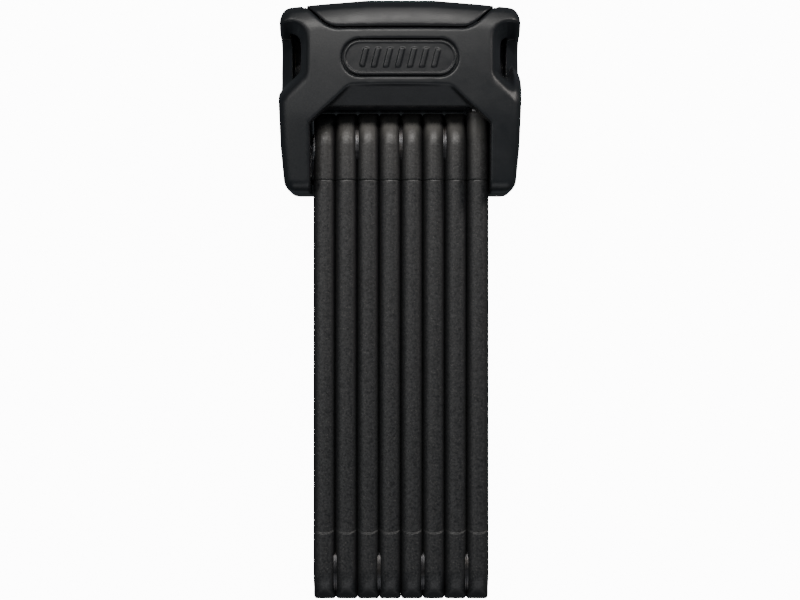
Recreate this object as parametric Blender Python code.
"""Folding bike lock, folded: eight riveted links hanging from a lock body.

The lock lies on its back.  +X runs along the link rivets, +Y from the links to the top of the
body and +Z out of the front face.  Lengths are millimetres here; MM turns them into metres.
"""
import math

import bmesh
import bpy
import numpy as np
from mathutils import Matrix, Vector

MM = 0.001

# Links: flat steel cores in a moulded coat, side by side along X
LINK_COUNT = 8
LINK_PITCH = 6.75  # from one link's middle to the next
STACK_MIDDLE_X = 0.3
LINK_THICKNESS = 6.3
LINK_RADIUS = 10.8  # half a link's width, and the radius of its round end
PIVOT_SPACING = 129.8
TOP_PIVOT_Y = 47.4
PIVOT_Z = 12.0
COAT = 0.5
COAT_GAP = 0.15  # between a coat and its core
ARC_STEPS = 10  # facets round a link's half-circle end
EDGE_STEPS = 4  # facets over a link's rounded edge
CORE_EDGE_STEPS = 2

# Rivets and washers
SHANK_RADIUS = 3.0
SHANK_HOLE_RADIUS = 3.3
HEAD_RADIUS = 4.6
HEAD_HOLE_RADIUS = 4.9
HEAD_SEAT = 1.5  # counterbore floor, from the core's mid-plane
HEAD_UNDERSIDE = 1.8
HEAD_TOP = 2.95
HEAD_CHAMFER = 0.45
WASHER_RADIUS = 9.3
WASHER_HOLE_RADIUS = 3.5
WASHER_SEAT_RADIUS = 9.6
WASHER_INNER = 2.6  # faces of a washer, from its link's mid-plane
WASHER_OUTER = 3.3
SPACER_SHOULDER = 3.225  # where the first link's spacer narrows to its collar
SPACER_COLLAR_RADIUS = 4.4

# Facets round turned pieces and holes
PIN_STEPS = 12
TURNED_STEPS = 16
SEAT_STEPS = 20
MOUTH_STEPS = 24

# Lock body
BODY_BOTTOM_Y = 32.9
BODY_TOP_Y = 93.2
BODY_HALF_WIDTH = 37.2
BODY_DEPTH = 35.0
FRONT_ROUND = 3.0
REAR_ROUND = 1.5
PARTING_Z = 18.0
FIT = 0.15  # half of the gap that two body pieces keep between them
CAVITY_LEFT_X = -27.3
CAVITY_RIGHT_X = 27.4
CAVITY_TOP_Y = 58.5
SHELL_WALL = 2.4
RELIEF_TOP_Y = 64.4
RELIEF_HALF_WIDTH = 14.8
RELIEF_SLOPE = 0.903  # fall of the relief's slanting sides
RELIEF_LIP_Z = 28.0
GUSSET_REAR_Z = 26.0  # back of the front wall's corners, which overhang the outer links
CAP_GROOVE_Y = 81.8
CAP_REAR_Z = 2.7  # the rear shell's back wall runs on behind the cap
CAP_NOTCH_X = 29.1
CAP_NOTCH_Y = 89.5
BADGE_Y = 72.6
BADGE_FRAME = (17.6, 5.8)  # half width and half height of the oval recess
BADGE_PLATE = (16.1, 4.4)
BADGE_FRAME_Z = 33.9
BADGE_POCKET_Z = 32.9
BADGE_BACK_Z = 33.2
BADGE_FACE_Z = 34.2
BADGE_RIB_Z = 34.7
BADGE_RIB_PITCH = 3.6
BADGE_RIB_COUNT = 8
BADGE_GROOVE = (1.8, 5.2)  # width and height of the ground between two ribs

# Hollows inside the body
CHAMBER_BOTTOM_Y = 60.9
CHAMBER_TOP_Y = 88.9
REAR_CHAMBER_HALF_WIDTH = 30.3
FRONT_CHAMBER_HALF_WIDTH = 26.3
FRONT_CHAMBER_BOTTOM_Y = 61.4
FRONT_CHAMBER_Z = (17.0, 29.3)
CHEEK_POCKET_Y = (36.5, 62.0)
CHEEK_POCKET_RIGHT_X = -26.0
CAP_CHAMBER_HALF_WIDTH = 27.0
CAP_CHAMBER_BOTTOM_Y = 70.0
CAP_WALL = 2.2
CAP_OVER_FRAME_HALF_WIDTH = 31.0

# Screws that close the shells, put in from the rear
SCREW_X = 32.6
SCREW_YS = (42.0, 87.9)
SCREW_POCKET = (2.0, 2.2)  # radius and depth
SCREW_HOLE = (1.2, 25.0)
SCREW_PROFILE = [(1.3, 0.6), (1.7, 0.9), (1.7, 1.9), (0.9, 1.9), (0.9, 23.0), (0.5, 24.0)]
SCREW_SOCKET = (0.8, 1.4)

# Finger scoops: corners on the right-hand side
SCOOP_FRONT_X = 27.2
SCOOP_FRONT_YS = (70.0, 77.4)
SCOOP_FLOOR_X = 33.2
SCOOP_FLOOR_Z = 15.0
SCOOP_FLOOR_YS = (66.0, 83.6)
SCOOP_MOUTH_Z = 12.5
SCOOP_MOUTH_YS = (58.5, 87.2)

CYLINDER_MOUTH_X = -33.4  # outer ends of the round mouths in the scoops
SOCKET_MOUTH_X = 32.7

# Steel frame
FRAME_OUTER_X = 30.0
FRAME_LEFT_BOTTOM_Y = 38.0
FRAME_RIGHT_BOTTOM_Y = 61.2
FRAME_BRIDGE_Y = (86.2, 88.6)
FRAME_HEAD_SEAT_X = -28.5
CHEEK_GAP = 0.35  # between the tongue's slot and the right cheek
FRAME_RIVET_X = -26.9  # stands in for a link's middle under the left head

# Lock works, all on one axis along X
LOCK_Y = 74.8
LOCK_Z = 17.5
HOUSING_RADIUS = 8.2
HOUSING_LEFT_X = -29.0
HOUSING_RIGHT_X = 1.3
HOUSING_FIT = 0.4
HOUSING_LIP = 1.0
GUARD_THICKNESS = 0.6
ROTOR_RADIUS = 5.5
ROTOR_NOSE_RADIUS = 4.9
ROTOR_TAIL_RADIUS = 3.0
KEYWAY = (7.2, 3.0, 8.0)  # height, width and depth
CLIP_GAP = math.radians(70)
CLIP_STEPS = 14
CAM_RADIUS = 6.0
CAM_BORE_RADIUS = 4.4
CAM_LEFT_X = 2.8
CAM_RIGHT_X = 18.4
CAM_HOLE_RADIUS = 3.3
CAM_WEB = 1.8
BOLT_RADIUS = 4.0
BOLT_TAIL_X = 5.3
BOLT_TIP_X = 19.9
BOLT_TRAVEL = 9.2
BOLT_PIN_X = 7.0
BOLT_PIN_RADIUS = 1.0
BOLT_PIN_Y = (-3.1, 7.6)  # ends of the pin, from the lock's axis
BOLT_TIP_CHAMFER = 0.8
SOCKET_RADIUS = 6.1
SOCKET_FLOOR_X = 29.5
SOCKET_END_X = 29.9
CASE_LOW = (-26.0, 62.0, 6.5)
CASE_TOP_Y = 85.6
CASE_FRONT_Z = 28.5
CASE_CHAMFER = 1.5
SLOT_LEFT_X = 20.5  # slot that takes the last link's tongue
SLOT_TOP_Y = 84.3
SLOT_FRONT_Z = 27.0
TONGUE_RADIUS = 8.0
TONGUE_HOLE_RADIUS = 4.5
TONGUE_NECK_Y = 61.0
LAST_COAT_TOP_Y = 57.9
RUNNING_GAP = 0.3
SHUTTER_HALF_LENGTH = 3.3
SHUTTER_DROP = 2.15
SHUTTER_HALF_THICKNESS = 0.3
SHUTTER_BARREL_RADIUS = 0.4
SHUTTER_HINGE = (-28.1, 0.0, 0.95)

PAST = 10.0  # how far a cutter runs out past the surface it opens

BOTTOM_PIVOT_Y = TOP_PIVOT_Y - PIVOT_SPACING
HALF_THICKNESS = LINK_THICKNESS / 2
CORE_RADIUS = LINK_RADIUS - COAT - COAT_GAP
CORE_HALF_THICKNESS = HALF_THICKNESS - COAT - COAT_GAP
FIRST_LINK_X = STACK_MIDDLE_X - LINK_PITCH * (LINK_COUNT - 1) / 2

# Finishes: colour, metallic, roughness
FINISHES = {
    "body_plastic": ((0.030, 0.031, 0.033), 0.0, 0.45),
    "badge_plastic": ((0.020, 0.020, 0.022), 0.0, 0.35),
    "link_coat": ((0.026, 0.026, 0.027), 0.0, 0.60),
    "core_steel": ((0.36, 0.36, 0.37), 1.0, 0.38),
    "rivet_steel": ((0.20, 0.20, 0.21), 1.0, 0.30),
    "case_steel": ((0.42, 0.42, 0.43), 1.0, 0.45),
    "cylinder_brass": ((0.62, 0.48, 0.25), 1.0, 0.35),
    "bright_steel": ((0.60, 0.60, 0.60), 1.0, 0.25),
    "screw_black": ((0.05, 0.05, 0.05), 1.0, 0.45),
}


def clear_scene():
    for obj in list(bpy.data.objects):
        bpy.data.objects.remove(obj)


def make_material(name):
    colour, metallic, roughness = FINISHES[name]
    material = bpy.data.materials.new(name)
    material.use_nodes = True
    shader = material.node_tree.nodes["Principled BSDF"]
    shader.inputs["Base Color"].default_value = (*colour, 1.0)
    shader.inputs["Metallic"].default_value = metallic
    shader.inputs["Roughness"].default_value = roughness
    material.diffuse_color = (*colour, 1.0)
    return material


def to_mesh(name, vertices, faces):
    """A mesh in metres from millimetre vertices, with every face pointing out."""
    bm = bmesh.new()
    corners = [bm.verts.new(Vector(v) * MM) for v in vertices]
    for face in faces:
        bm.faces.new([corners[i] for i in face])
    bmesh.ops.recalc_face_normals(bm, faces=bm.faces)
    mesh = bpy.data.meshes.new(name)
    bm.to_mesh(mesh)
    bm.free()
    return mesh


def as_object(name, mesh):
    obj = bpy.data.objects.new(name, mesh)
    bpy.context.scene.collection.objects.link(obj)
    return obj


def loft(name, rings):
    """A solid through rings that have equally many points, closed at both ends."""
    size = len(rings[0])
    vertices = [point for ring in rings for point in ring]
    faces = []
    for level in range(len(rings) - 1):
        low, high = level * size, (level + 1) * size
        for i in range(size):
            j = (i + 1) % size
            faces.append((low + i, low + j, high + j, high + i))
    faces.append(tuple(range(size)))
    faces.append(tuple(range(len(vertices) - size, len(vertices))))
    return as_object(name, to_mesh(name, vertices, faces))


def turned(name, profile, centre=(0.0, 0.0), steps=TURNED_STEPS, ring=False):
    """A solid turned about a line along X through centre (y, z); profile holds (radius, x).

    A ring joins its profile's last point to its first and has a hole through it."""
    loops = []
    for radius, x in profile:
        angles = [2 * math.pi * (i + 0.5) / steps for i in range(steps)]
        loops.append(
            [(x, centre[0] + radius * math.cos(a), centre[1] + radius * math.sin(a)) for a in angles]
        )
    if not ring:
        return loft(name, loops)
    vertices = [point for loop in loops for point in loop]
    faces = []
    for level in range(len(loops)):
        low, high = level * steps, (level + 1) % len(loops) * steps
        for i in range(steps):
            j = (i + 1) % steps
            faces.append((low + i, low + j, high + j, high + i))
    return as_object(name, to_mesh(name, vertices, faces))


def rod(name, radius, x0, x1, centre=(0.0, 0.0), steps=TURNED_STEPS):
    return turned(name, [(radius, x0), (radius, x1)], centre, steps)


def prism(name, outline, z0, z1):
    return loft(name, [[(x, y, z) for x, y in outline] for z in (z0, z1)])


def block(name, low, high):
    outline = [(low[0], low[1]), (high[0], low[1]), (high[0], high[1]), (low[0], high[1])]
    return prism(name, outline, low[2], high[2])


def hull(name, points):
    bm = bmesh.new()
    for point in points:
        bm.verts.new(Vector(point) * MM)
    bmesh.ops.convex_hull(bm, input=bm.verts)
    bmesh.ops.recalc_face_normals(bm, faces=bm.faces)
    mesh = bpy.data.meshes.new(name)
    bm.to_mesh(mesh)
    bm.free()
    return as_object(name, mesh)


def combine(obj, tool, operation):
    """Apply one Boolean of tool to obj."""
    modifier = obj.modifiers.new(operation.lower(), "BOOLEAN")
    modifier.operation = operation
    modifier.solver = "EXACT"
    modifier.object = tool
    depsgraph = bpy.context.evaluated_depsgraph_get()
    mesh = bpy.data.meshes.new_from_object(obj.evaluated_get(depsgraph))
    obj.modifiers.clear()
    obj.data = mesh


def cut(obj, *tools, keep_tools=False):
    for tool in tools:
        combine(obj, tool, "DIFFERENCE")
        if not keep_tools:
            bpy.data.objects.remove(tool)
    return obj


def finish(obj, name, material, parent=None, smooth_angle=40):
    """Name, shade and parent one finished piece."""
    obj.name = name
    obj.data.name = name
    obj.data.materials.clear()
    obj.data.materials.append(material)
    obj.data.shade_smooth()
    obj.data.set_sharp_from_angle(angle=math.radians(smooth_angle))
    obj.parent = parent
    return obj


def copy_of(mesh, name, material, parent):
    return finish(as_object(name, mesh.copy()), name, material, parent)


def pull_mesh(obj):
    """The mesh of a working object, which is removed."""
    mesh = obj.data
    bpy.data.objects.remove(obj)
    return mesh


def move_mesh(obj, offset):
    obj.data.transform(Matrix.Translation(Vector(offset) * MM))
    return obj


# Outlines


def rounded(corners, steps=3):
    """A closed outline from (x, y, radius) corners, each rounded by an arc."""
    outline = []
    for i, (x, y, radius) in enumerate(corners):
        corner = np.array((x, y))
        before = np.array(corners[i - 1][:2]) - corner
        after = np.array(corners[(i + 1) % len(corners)][:2]) - corner
        if not radius:
            outline.append((x, y))
            continue
        before /= np.linalg.norm(before)
        after /= np.linalg.norm(after)
        half = math.acos(np.clip(before @ after, -1, 1)) / 2
        middle = (before + after) / np.linalg.norm(before + after)
        centre = corner + middle * radius / math.sin(half)
        start = corner + before * radius / math.tan(half) - centre
        end = corner + after * radius / math.tan(half) - centre
        sweep = math.pi - 2 * half
        for k in range(steps + 1):
            a = sweep * k / steps
            point = (start * math.sin(sweep - a) + end * math.sin(a)) / math.sin(sweep)
            outline.append(tuple(centre + point))
    return outline


def mirrored(corners):
    """Corners on the right, bottom to top, with their mirror image on the left."""
    return corners + [(-x, y, r) for x, y, r in reversed(corners)]


def inset(outline, distance):
    """Each corner of an anticlockwise outline moved in by distance."""
    points = np.array(outline)
    edges = np.roll(points, -1, axis=0) - points
    edges /= np.linalg.norm(edges, axis=1)[:, None]
    normals = np.stack([-edges[:, 1], edges[:, 0]], axis=1)
    before = np.roll(normals, 1, axis=0)
    spread = 1 + np.sum(before * normals, axis=1)
    return points + distance * (before + normals) / spread[:, None]


def oval(half_width, half_height, steps=6):
    """A stadium with its middle at the origin, anticlockwise."""
    straight = half_width - half_height
    points = []
    for side, start in ((1, -90), (-1, 90)):
        for k in range(steps + 1):
            a = math.radians(start + 180 * k / steps)
            points.append((side * straight + half_height * math.cos(a), half_height * math.sin(a)))
    return points


# Links


def link_outline(radius):
    """Round at both pivots: (y, z) points with the driving pivot at the origin."""
    points = []
    for middle, start in ((0.0, -90), (-PIVOT_SPACING, 90)):
        for k in range(ARC_STEPS + 1):
            a = math.radians(start + 180 * k / ARC_STEPS)
            points.append((middle + radius * math.cos(a), radius * math.sin(a)))
    return points


def last_link_outline(radius, end_y):
    """Round at the driving pivot only, and square where the tongue carries on."""
    points = [(end_y, radius), (end_y, -radius)]
    for k in range(ARC_STEPS + 1):
        a = math.radians(-90 + 180 * k / ARC_STEPS)
        points.append((radius * math.cos(a), radius * math.sin(a)))
    return points


def rounded_slab(name, outline, half_thickness, steps):
    """A slab across X whose edge is a half circle as wide as the slab is thick."""
    rings = []
    for k in range(steps + 1):
        a = math.pi * (k / steps - 0.5)
        x = half_thickness * math.sin(a)
        ring = inset(outline, half_thickness * (1 - math.cos(a)))
        rings.append([(x, y, z) for y, z in ring])
    return loft(name, rings)


def pivot_cutters(y, washer_side):
    """Rivet shank hole, with the head's counterbore on the side away from the washer."""
    shank_hole = rod("shank_hole", SHANK_HOLE_RADIUS, -LINK_THICKNESS, LINK_THICKNESS, (y, 0.0), PIN_STEPS)
    return [shank_hole, head_window(y, -washer_side)]


def washer_seat(y, side):
    sides = sorted((side * CORE_HALF_THICKNESS, side * LINK_THICKNESS))
    return rod("washer_seat", WASHER_SEAT_RADIUS, *sides, (y, 0.0), SEAT_STEPS)


def head_window(y, side):
    sides = sorted((side * HEAD_SEAT, side * LINK_THICKNESS))
    return rod("head_window", HEAD_HOLE_RADIUS, *sides, (y, 0.0), PIN_STEPS)


def link_sleeve_mesh():
    coat = rounded_slab("coat", link_outline(LINK_RADIUS), HALF_THICKNESS, EDGE_STEPS)
    hollow = rounded_slab("hollow", link_outline(LINK_RADIUS - COAT), HALF_THICKNESS - COAT, EDGE_STEPS)
    far = -PIVOT_SPACING
    cut(coat, hollow, washer_seat(0, -1), head_window(0, 1), washer_seat(far, 1), head_window(far, -1))
    return pull_mesh(coat)


def link_core_mesh():
    core = rounded_slab("core", link_outline(CORE_RADIUS), CORE_HALF_THICKNESS, CORE_EDGE_STEPS)
    cut(core, *pivot_cutters(0, -1), *pivot_cutters(-PIVOT_SPACING, 1))
    return pull_mesh(core)


def last_sleeve_mesh():
    """The last link's coat, which its tongue leaves through the open square end."""
    end_y = -(LAST_COAT_TOP_Y - BOTTOM_PIVOT_Y)
    outer = last_link_outline(LINK_RADIUS, end_y - HALF_THICKNESS)
    inner = last_link_outline(LINK_RADIUS - COAT, end_y - 2 * HALF_THICKNESS)
    coat = rounded_slab("coat", outer, HALF_THICKNESS, EDGE_STEPS)
    hollow = rounded_slab("hollow", inner, HALF_THICKNESS - COAT, EDGE_STEPS)
    reach = LINK_RADIUS + PAST
    trim = block("trim", (-reach, end_y - 2 * PAST, -reach), (reach, end_y, reach))
    cut(coat, trim, hollow, washer_seat(0, -1), head_window(0, 1))
    return pull_mesh(coat)


def last_core_mesh():
    """The last core: a bar that narrows to the locking tongue, with the bolt's hole."""
    neck_y = -(TONGUE_NECK_Y - BOTTOM_PIVOT_Y)
    tip = (-(LOCK_Y - BOTTOM_PIVOT_Y), -(LOCK_Z - PIVOT_Z))
    outline = last_link_outline(CORE_RADIUS, neck_y + 2)
    tongue = [(neck_y, tip[1] + TONGUE_RADIUS)]
    for k in range(ARC_STEPS + 1):
        a = math.radians(90 + 180 * k / ARC_STEPS)
        tongue.append((tip[0] + TONGUE_RADIUS * math.cos(a), tip[1] + TONGUE_RADIUS * math.sin(a)))
    tongue.append((neck_y, tip[1] - TONGUE_RADIUS))
    points = outline[2:] + outline[:1] + tongue + outline[1:2]
    core = rounded_slab("last_core", points, CORE_HALF_THICKNESS, EDGE_STEPS)
    bolt_hole = rod("bolt_hole", TONGUE_HOLE_RADIUS, -LINK_THICKNESS, LINK_THICKNESS, tip)
    cut(core, *pivot_cutters(0, -1), bolt_hole)
    return pull_mesh(core)


def rivet_mesh(left_x, right_x):
    """A rivet whose two heads stand on counterbore floors around left_x and right_x."""
    profile = [
        (HEAD_RADIUS - HEAD_CHAMFER, left_x - HEAD_TOP),
        (HEAD_RADIUS, left_x - HEAD_TOP + HEAD_CHAMFER),
        (HEAD_RADIUS, left_x - HEAD_UNDERSIDE),
        (SHANK_RADIUS, left_x - HEAD_UNDERSIDE),
        (SHANK_RADIUS, right_x + HEAD_UNDERSIDE),
        (HEAD_RADIUS, right_x + HEAD_UNDERSIDE),
        (HEAD_RADIUS, right_x + HEAD_TOP - HEAD_CHAMFER),
        (HEAD_RADIUS - HEAD_CHAMFER, right_x + HEAD_TOP),
    ]
    return pull_mesh(turned("rivet", profile, steps=PIN_STEPS))


def washer_mesh(x0, x1):
    profile = [(WASHER_HOLE_RADIUS, x0), (WASHER_HOLE_RADIUS, x1), (WASHER_RADIUS, x1), (WASHER_RADIUS, x0)]
    return pull_mesh(turned("washer", profile, ring=True))


def spacer_mesh():
    """A washer with a collar that fills the gap between the first link and the body."""
    left_x = CAVITY_LEFT_X + 0.1 - FIRST_LINK_X
    profile = [
        (WASHER_HOLE_RADIUS, left_x),
        (WASHER_HOLE_RADIUS, -WASHER_INNER),
        (WASHER_RADIUS, -WASHER_INNER),
        (WASHER_RADIUS, -SPACER_SHOULDER),
        (SPACER_COLLAR_RADIUS, -SPACER_SHOULDER),
        (SPACER_COLLAR_RADIUS, left_x),
    ]
    return pull_mesh(turned("spacer", profile, ring=True))


def make_links(materials, body):
    """A chain of pivots, each turned over against the one before, so the links fold flat."""
    sleeve, core, rivet = link_sleeve_mesh(), link_core_mesh(), rivet_mesh(0, LINK_PITCH)
    near_washer = washer_mesh(-WASHER_OUTER, -WASHER_INNER)
    far_washer = washer_mesh(WASHER_INNER, WASHER_OUTER)
    parent = body
    step = (FIRST_LINK_X, TOP_PIVOT_Y, PIVOT_Z)
    for number in range(1, LINK_COUNT + 1):
        last = number == LINK_COUNT
        pivot = bpy.data.objects.new(f"pivot_{number}", None)
        bpy.context.scene.collection.objects.link(pivot)
        pivot.parent = parent
        pivot.location = Vector(step) * MM
        pivot.rotation_euler.x = 0.0 if number == 1 else math.pi
        coat_mesh = last_sleeve_mesh() if last else sleeve
        core_mesh = last_core_mesh() if last else core
        copy_of(coat_mesh, f"link_{number}_sleeve", materials["link_coat"], pivot)
        copy_of(core_mesh, f"link_{number}_core", materials["core_steel"], pivot)
        if number == 1:
            copy_of(spacer_mesh(), "frame_spacer", materials["bright_steel"], pivot)
        else:
            copy_of(near_washer, f"washer_{number - 1}b", materials["bright_steel"], pivot)
        if not last:
            far_end = Vector((0.0, -PIVOT_SPACING, 0.0)) * MM
            washer = copy_of(far_washer, f"washer_{number}a", materials["bright_steel"], pivot)
            washer.location = far_end
            pin = copy_of(rivet, f"rivet_{number}", materials["rivet_steel"], pivot)
            pin.location = far_end
        parent = pivot
        step = (LINK_PITCH, -PIVOT_SPACING, 0.0)


# Body


def body_outline():
    return rounded(
        mirrored(
            [
                (35.3, BODY_BOTTOM_Y, 3.4),
                (36.6, 46.5, 0),
                (BODY_HALF_WIDTH, 60.0, 0),
                (BODY_HALF_WIDTH, 72.0, 0),
                (36.7, 90.1, 3.7),
                (24.0, 91.8, 0),
                (10.0, BODY_TOP_Y, 0),
            ]
        )
    )


def body_blank():
    """The whole body's outside, rounded over at the front and the rear."""
    outline = body_outline()
    steps = 3
    rings = []
    for k in range(steps + 1):
        a = math.pi / 2 * k / steps
        depth = REAR_ROUND * (1 - math.sin(a))
        rings.append((REAR_ROUND * (1 - math.cos(a)), depth))
    for k in range(steps + 1):
        a = math.pi / 2 * k / steps
        depth = FRONT_ROUND * (1 - math.cos(a))
        rings.append((BODY_DEPTH - FRONT_ROUND * (1 - math.sin(a)), depth))
    return loft("body_blank", [[(x, y, z) for x, y in inset(outline, d)] for z, d in rings])


def cap_outline():
    return rounded(
        mirrored(
            [
                (21.2, CAP_GROOVE_Y, 3.0),
                (CAP_NOTCH_X, CAP_NOTCH_Y, 0),
                (CAP_NOTCH_X, BODY_TOP_Y + 5, 0),
            ]
        )
    )


def scoop(side):
    """The finger scoop in one side: its floor leans in towards the front."""
    outer, front = 40.0, BODY_DEPTH + 2
    points = [(SCOOP_FRONT_X, y, front) for y in SCOOP_FRONT_YS]
    points += [(SCOOP_FLOOR_X, y, SCOOP_FLOOR_Z) for y in SCOOP_FLOOR_YS]
    points += [(outer, y, z) for z in (SCOOP_MOUTH_Z, front) for y in SCOOP_MOUTH_YS]
    return hull("scoop", [(side * x, y, z) for x, y, z in points])


def relief_edge(x):
    """Height of the relief's slanting side over the middle of the body."""
    return RELIEF_TOP_Y - RELIEF_SLOPE * (abs(x) - RELIEF_HALF_WIDTH)


def relief():
    """The trapezoid over the links: it slopes back to the front lip over the leg gap."""
    corner_x = RELIEF_HALF_WIDTH + (RELIEF_TOP_Y - CAVITY_TOP_Y) / RELIEF_SLOPE
    side_x = -CAVITY_LEFT_X
    front = BODY_DEPTH + 0.2
    low_y = CAVITY_TOP_Y - 2 * PAST
    points = [(RELIEF_HALF_WIDTH, RELIEF_TOP_Y, front)]
    for z in (RELIEF_LIP_Z, front):
        points += [(side_x, relief_edge(side_x), z), (side_x, low_y, z), (corner_x, CAVITY_TOP_Y, z)]
    return hull("relief", [(side * x, y, z) for side in (-1, 1) for x, y, z in points])


def leg_gap():
    """The gap that the links hang in; at the front its upper corners follow the relief."""
    low_y = BODY_BOTTOM_Y - PAST
    rear = block("leg_gap", (CAVITY_LEFT_X, low_y, -PAST), (CAVITY_RIGHT_X, CAVITY_TOP_Y, GUSSET_REAR_Z))
    corner_x = RELIEF_HALF_WIDTH + (RELIEF_TOP_Y - CAVITY_TOP_Y) / RELIEF_SLOPE
    outline = [
        (CAVITY_LEFT_X, low_y),
        (CAVITY_RIGHT_X, low_y),
        (CAVITY_RIGHT_X, relief_edge(CAVITY_RIGHT_X)),
        (corner_x, CAVITY_TOP_Y),
        (-corner_x, CAVITY_TOP_Y),
        (CAVITY_LEFT_X, relief_edge(CAVITY_LEFT_X)),
    ]
    return [rear, prism("leg_gap_front", outline, GUSSET_REAR_Z - 1, BODY_DEPTH + PAST)]


def screw_places():
    return [(side * SCREW_X, y) for side in (-1, 1) for y in SCREW_YS]


def along_z(name, radius, x, y, z0, z1):
    """A rod along Z."""
    obj = rod(name, radius, z0, z1, steps=PIN_STEPS)
    obj.data.transform(Matrix.Rotation(-math.pi / 2, 4, "Y"))
    return move_mesh(obj, (x, y, 0.0))


def body_hollows():
    """Everything that is cut out of both shells."""
    axis = (LOCK_Y, LOCK_Z)
    wide, narrow = REAR_CHAMBER_HALF_WIDTH, FRONT_CHAMBER_HALF_WIDTH
    pocket_low, pocket_high = CHEEK_POCKET_Y
    chamber_rear, chamber_front = FRONT_CHAMBER_Z
    slot_low = (SLOT_LEFT_X, CAVITY_TOP_Y - PAST, -PAST)
    mouth = HOUSING_RADIUS + HOUSING_FIT
    tools = [
        *leg_gap(),
        relief(),
        scoop(-1),
        scoop(1),
        block(
            "front_chamber",
            (-narrow, FRONT_CHAMBER_BOTTOM_Y, chamber_rear),
            (narrow, CHAMBER_TOP_Y, chamber_front),
        ),
        block("rear_chamber", (-wide, CHAMBER_BOTTOM_Y, SHELL_WALL), (wide, CHAMBER_TOP_Y, PARTING_Z)),
        block(
            "cheek_pocket",
            (-wide, pocket_low, SHELL_WALL),
            (CHEEK_POCKET_RIGHT_X, pocket_high, PARTING_Z),
        ),
        block("tongue_slot", slot_low, (CAVITY_RIGHT_X, SLOT_TOP_Y, SLOT_FRONT_Z)),
        rod("cylinder_mouth", mouth, CYLINDER_MOUTH_X, -narrow, axis, MOUTH_STEPS),
        rod("socket_mouth", SOCKET_RADIUS + RUNNING_GAP, narrow, SOCKET_MOUTH_X, axis, MOUTH_STEPS),
        prism("cap_space", inset(cap_outline(), -2 * FIT), CAP_REAR_Z - 2 * FIT, BODY_DEPTH + PAST),
    ]
    for x, y in screw_places():
        pocket_radius, pocket_depth = SCREW_POCKET
        hole_radius, hole_depth = SCREW_HOLE
        tools.append(along_z("screw_pocket", pocket_radius, x, y, -PAST, pocket_depth))
        tools.append(along_z("screw_hole", hole_radius, x, y, 0.5 * pocket_depth, hole_depth))
    return tools


def make_shells(materials, body):
    front, rear = body_blank(), body_blank()
    outer, top = BODY_HALF_WIDTH + PAST, BODY_TOP_Y + PAST
    cut(front, block("rear_half", (-outer, 0, -PAST), (outer, top, PARTING_Z + FIT)))
    cut(rear, block("front_half", (-outer, 0, PARTING_Z - FIT), (outer, top, BODY_DEPTH + PAST)))
    tools = body_hollows()
    cut(front, *tools, keep_tools=True)
    cut(rear, *tools)
    front_z = BODY_DEPTH + PAST
    frame_recess = prism("badge_frame", oval(*BADGE_FRAME), BADGE_FRAME_Z, front_z)
    plate_recess = prism("badge_pocket", inset(oval(*BADGE_PLATE), -RUNNING_GAP), BADGE_POCKET_Z, front_z)
    for tool in (frame_recess, plate_recess):
        cut(front, move_mesh(tool, (0, BADGE_Y, 0)))
    finish(front, "front_shell", materials["body_plastic"], body)
    finish(rear, "rear_shell", materials["body_plastic"], body)


def make_cap(materials, body):
    cap = body_blank()
    outside = prism("cap_outside", cap_outline(), CAP_REAR_Z, BODY_DEPTH + PAST)
    combine(cap, outside, "INTERSECT")
    bpy.data.objects.remove(outside)
    low_y, narrow, wide = CAP_CHAMBER_BOTTOM_Y, CAP_CHAMBER_HALF_WIDTH, CAP_OVER_FRAME_HALF_WIDTH
    inside = block("cap_inside", (-narrow, low_y, 0), (narrow, CHAMBER_TOP_Y, BODY_DEPTH - CAP_WALL))
    over_frame = block("over_frame", (-wide, low_y, 0), (wide, CHAMBER_TOP_Y, PARTING_Z))
    finish(cut(cap, inside, over_frame), "top_cap", materials["body_plastic"], body)


def make_badge(materials, body):
    """A plain oval plate with upright ribs."""
    plate = prism("badge", oval(*BADGE_PLATE), BADGE_BACK_Z, BADGE_RIB_Z)
    half_width, half_height = BADGE_GROOVE[0] / 2, BADGE_GROOVE[1] / 2
    for k in range(BADGE_RIB_COUNT - 1):
        x = BADGE_RIB_PITCH * (k - (BADGE_RIB_COUNT - 2) / 2)
        low = (x - half_width, -half_height, BADGE_FACE_Z)
        cut(plate, block("groove", low, (x + half_width, half_height, BADGE_RIB_Z + 1)))
    finish(move_mesh(plate, (0, BADGE_Y, 0)), "badge_plate", materials["badge_plastic"], body)


def make_screws(materials, body):
    """Pan-head screws with a hexagon socket, put in from the rear."""
    for number, (x, y) in enumerate(screw_places(), 1):
        screw = turned("screw", SCREW_PROFILE, steps=PIN_STEPS)
        socket_radius, socket_depth = SCREW_SOCKET
        cut(screw, rod("socket", socket_radius, 0, socket_depth, steps=6))
        screw.data.transform(Matrix.Rotation(-math.pi / 2, 4, "Y"))
        finish(move_mesh(screw, (x, y, 0)), f"shell_screw_{number}", materials["screw_black"], body)


# Frame and lock works


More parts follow.
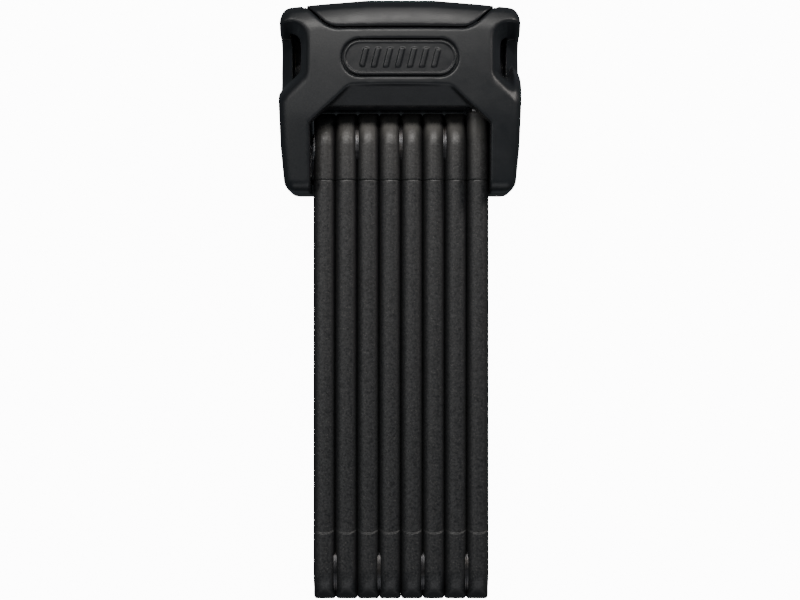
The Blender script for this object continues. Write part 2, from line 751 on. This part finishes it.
def make_frame(materials, body):
    """A bent steel strap: left cheek, bridge over the case, right cheek."""
    outer, inner = FRAME_OUTER_X, CAVITY_RIGHT_X + CHEEK_GAP
    left_inner = CAVITY_LEFT_X - FIT
    bridge_low, bridge_high = FRAME_BRIDGE_Y
    outline = [
        (-outer, FRAME_LEFT_BOTTOM_Y),
        (left_inner, FRAME_LEFT_BOTTOM_Y),
        (left_inner, bridge_low),
        (inner, bridge_low),
        (inner, FRAME_RIGHT_BOTTOM_Y),
        (outer, FRAME_RIGHT_BOTTOM_Y),
        (outer, bridge_high),
        (-outer, bridge_high),
    ]
    strap = prism("strap", outline, SHELL_WALL + RUNNING_GAP, PARTING_Z - RUNNING_GAP)
    pivot = (TOP_PIVOT_Y, PIVOT_Z)
    axis = (LOCK_Y, LOCK_Z)
    far, near = outer + PAST, FRONT_CHAMBER_HALF_WIDTH
    cut(
        strap,
        rod("shank_hole", SHANK_HOLE_RADIUS, -far, -near, pivot),
        rod("head_hole", HEAD_HOLE_RADIUS, -far, FRAME_HEAD_SEAT_X, pivot),
        rod("housing_notch", HOUSING_RADIUS + HOUSING_FIT, -far, -near, axis, MOUTH_STEPS),
        rod("socket_notch", SOCKET_RADIUS + RUNNING_GAP, near, far, axis, MOUTH_STEPS),
    )
    finish(strap, "steel_frame", materials["case_steel"], body)
    rivet = rivet_mesh(FRAME_RIVET_X, FIRST_LINK_X)
    pin = copy_of(rivet, "frame_rivet", materials["rivet_steel"], body)
    pin.location = Vector((0.0, TOP_PIVOT_Y, PIVOT_Z)) * MM


def make_case(materials, body):
    """The steel block that holds the cylinder and guides the cam and the bolt."""
    left_x, low_y, low_z = CASE_LOW
    right_x = SLOT_LEFT_X - 0.1
    corners = [(CASE_FRONT_Z, low_y), (CASE_FRONT_Z, CASE_TOP_Y), (low_z, CASE_TOP_Y), (low_z, low_y)]
    section = rounded([(z, y, CASE_CHAMFER) for z, y in corners], steps=2)
    case = loft("case", [[(x, y, z) for z, y in section] for x in (left_x, right_x)])
    axis = (LOCK_Y, LOCK_Z)
    pin_gap = BOLT_PIN_RADIUS + RUNNING_GAP
    groove_low = (BOLT_PIN_X - pin_gap, LOCK_Y, LOCK_Z - pin_gap)
    groove_top = LOCK_Y + BOLT_PIN_Y[1] + 0.4
    groove_high = (BOLT_PIN_X + BOLT_TRAVEL + pin_gap, groove_top, LOCK_Z + pin_gap)
    housing_end = HOUSING_RIGHT_X + RUNNING_GAP
    cam_end = CAM_RIGHT_X + 0.4
    cut(
        case,
        rod("housing_bore", HOUSING_RADIUS + RUNNING_GAP, left_x - PAST, housing_end, axis, SEAT_STEPS),
        rod("cam_bore", CAM_RADIUS + 0.4, housing_end - 0.6, cam_end, axis),
        rod("bolt_bore", BOLT_RADIUS + RUNNING_GAP, cam_end - 0.8, right_x + PAST, axis),
        block("pin_groove", groove_low, groove_high),
    )
    finish(case, "lock_case", materials["case_steel"], body)


def make_cylinder(materials, body, rotor_axis):
    axis = (LOCK_Y, LOCK_Z)
    bore, mouth = ROTOR_RADIUS + RUNNING_GAP, ROTOR_NOSE_RADIUS + RUNNING_GAP
    lip_x = HOUSING_LEFT_X + HOUSING_LIP
    profile = [
        (bore, lip_x),
        (bore, HOUSING_RIGHT_X),
        (HOUSING_RADIUS, HOUSING_RIGHT_X),
        (HOUSING_RADIUS, HOUSING_LEFT_X),
        (mouth, HOUSING_LEFT_X),
        (mouth, lip_x),
    ]
    housing = turned("housing", profile, axis, ring=True)
    finish(housing, "cylinder_housing", materials["cylinder_brass"], body)
    guard_right = HOUSING_LEFT_X - RUNNING_GAP
    guard_left = guard_right - GUARD_THICKNESS
    guard = [
        (mouth, guard_left),
        (mouth, guard_right),
        (HOUSING_RADIUS, guard_right),
        (HOUSING_RADIUS, guard_left),
    ]
    finish(turned("guard", guard, axis, ring=True), "guard_ring", materials["bright_steel"], body)
    make_rotor(materials, rotor_axis)
    make_clip(materials, rotor_axis)


def make_rotor(materials, rotor_axis):
    """The rotor, shouldered behind the housing's lip, with its keyway and its tail for the cam."""
    shoulder = HOUSING_LEFT_X + HOUSING_LIP + RUNNING_GAP
    profile = [
        (ROTOR_NOSE_RADIUS, HOUSING_LEFT_X + 0.2),
        (ROTOR_NOSE_RADIUS, shoulder),
        (ROTOR_RADIUS, shoulder),
        (ROTOR_RADIUS, HOUSING_RIGHT_X),
        (ROTOR_TAIL_RADIUS, HOUSING_RIGHT_X),
        (ROTOR_TAIL_RADIUS, CAM_LEFT_X + 1.5),
    ]
    rotor = turned("rotor", profile)
    height, width, depth = KEYWAY
    low = (HOUSING_LEFT_X - PAST, -height / 2, -width / 2)
    cut(rotor, block("keyway", low, (HOUSING_LEFT_X + depth, height / 2, width / 2)))
    finish(rotor, "cylinder_rotor", materials["cylinder_brass"], rotor_axis)


def make_clip(materials, rotor_axis):
    """The open ring that keeps the rotor in its housing."""
    x0, x1 = HOUSING_RIGHT_X + 0.45, HOUSING_RIGHT_X + 1.05
    inner, outer = ROTOR_TAIL_RADIUS + 0.15, ROTOR_TAIL_RADIUS + 1.9
    rings = []
    for k in range(CLIP_STEPS + 1):
        a = CLIP_GAP / 2 + (2 * math.pi - CLIP_GAP) * k / CLIP_STEPS
        section = [(x0, inner), (x1, inner), (x1, outer), (x0, outer)]
        rings.append([(x, r * math.cos(a), r * math.sin(a)) for x, r in section])
    finish(loft("clip", rings), "rotor_clip", materials["bright_steel"], rotor_axis)


def helical_slot():
    """A cutter along the line that the bolt's pin takes round the cam in a quarter turn."""
    middle = (CAM_RADIUS + CAM_BORE_RADIUS) / 2
    inner, outer = CAM_BORE_RADIUS - 0.5, CAM_RADIUS + 1.0
    quarter_turn = -math.pi / 2
    start = np.array((0.0, BOLT_PIN_X))
    along = np.array((middle * quarter_turn, BOLT_TRAVEL))
    length = np.linalg.norm(along)
    along /= length
    across = np.array((-along[1], along[0]))
    half_width = BOLT_PIN_RADIUS + 0.4
    ends, middles = (0.4, 0.8, 0.95), 10
    stations = [(-s * half_width, half_width * math.sqrt(1 - s * s)) for s in reversed(ends)]
    stations += [(k * length / middles, half_width) for k in range(middles + 1)]
    stations += [(length + s * half_width, half_width * math.sqrt(1 - s * s)) for s in ends]
    sections = []
    for distance, width in stations:
        section = []
        for offset, radius in ((-width, inner), (width, inner), (width, outer), (-width, outer)):
            arc, x = start + along * distance + across * offset
            a = arc / middle
            section.append((x, radius * math.cos(a), radius * math.sin(a)))
        sections.append(section)
    return loft("helical_slot", sections)


def make_bolt_works(materials, body, rotor_axis, bolt_axis):
    """Cam, bolt and pin: turning the cam pushes the pin along the case's groove."""
    cam_profile = [
        (CAM_HOLE_RADIUS, CAM_LEFT_X),
        (CAM_RADIUS, CAM_LEFT_X),
        (CAM_RADIUS, CAM_RIGHT_X),
        (CAM_BORE_RADIUS, CAM_RIGHT_X),
        (CAM_BORE_RADIUS, CAM_LEFT_X + CAM_WEB),
        (CAM_HOLE_RADIUS, CAM_LEFT_X + CAM_WEB),
    ]
    cam = cut(turned("cam", cam_profile, ring=True), helical_slot())
    finish(cam, "drive_cam", materials["bright_steel"], rotor_axis)

    bolt_profile = [
        (BOLT_RADIUS - 0.5, BOLT_TAIL_X),
        (BOLT_RADIUS, BOLT_TAIL_X + 0.5),
        (BOLT_RADIUS, BOLT_TIP_X - BOLT_TIP_CHAMFER),
        (BOLT_RADIUS - BOLT_TIP_CHAMFER, BOLT_TIP_X),
    ]
    bolt = turned("bolt", bolt_profile)
    turn_up = Matrix.Rotation(math.pi / 2, 4, "Z")
    pin_low, pin_high = BOLT_PIN_Y
    hole = rod("pin_hole", BOLT_PIN_RADIUS + 0.2, pin_low - RUNNING_GAP, BOLT_RADIUS + 2, steps=PIN_STEPS)
    hole.data.transform(turn_up)
    cut(bolt, move_mesh(hole, (BOLT_PIN_X, 0, 0)))
    finish(bolt, "locking_bolt", materials["bright_steel"], bolt_axis)
    pin = rod("pin", BOLT_PIN_RADIUS, pin_low, pin_high, steps=PIN_STEPS)
    pin.data.transform(turn_up)
    finish(move_mesh(pin, (BOLT_PIN_X, 0, 0)), "bolt_pin", materials["bright_steel"], bolt_axis)

    left_x = CAVITY_RIGHT_X + CHEEK_GAP
    socket = rod("socket", SOCKET_RADIUS, left_x, SOCKET_END_X, steps=SEAT_STEPS)
    cut(socket, rod("socket_bore", BOLT_RADIUS + RUNNING_GAP, left_x - PAST, SOCKET_FLOOR_X))
    finish(move_mesh(socket, (0, LOCK_Y, LOCK_Z)), "bolt_socket", materials["bright_steel"], body)


def make_shutter(materials, hinge):
    """The flap that keeps dirt out of the keyway, hung from its upper long edge."""
    thickness, length = SHUTTER_HALF_THICKNESS, SHUTTER_HALF_LENGTH
    flap = block("flap", (-thickness, -length, -SHUTTER_DROP), (thickness, length, 0.0))
    barrel = rod("barrel", SHUTTER_BARREL_RADIUS, -length, length, steps=10)
    barrel.data.transform(Matrix.Rotation(math.pi / 2, 4, "Z"))
    combine(flap, barrel, "UNION")
    bpy.data.objects.remove(barrel)
    finish(flap, "keyhole_shutter", materials["bright_steel"], hinge)


def empty(name, location, parent=None):
    obj = bpy.data.objects.new(name, None)
    bpy.context.scene.collection.objects.link(obj)
    obj.location = Vector(location) * MM
    obj.parent = parent
    return obj


def build():
    clear_scene()
    materials = {name: make_material(name) for name in FINISHES}
    body = empty("lock_body", (0, 0, 0))
    rotor_axis = empty("rotor_axis", (0, LOCK_Y, LOCK_Z), body)
    bolt_axis = empty("bolt_axis", (0, LOCK_Y, LOCK_Z), body)
    shutter_hinge = empty("shutter_hinge", SHUTTER_HINGE, rotor_axis)
    make_shells(materials, body)
    make_cap(materials, body)
    make_badge(materials, body)
    make_screws(materials, body)
    make_frame(materials, body)
    make_case(materials, body)
    make_cylinder(materials, body, rotor_axis)
    make_bolt_works(materials, body, rotor_axis, bolt_axis)
    make_shutter(materials, shutter_hinge)
    make_links(materials, body)


build()
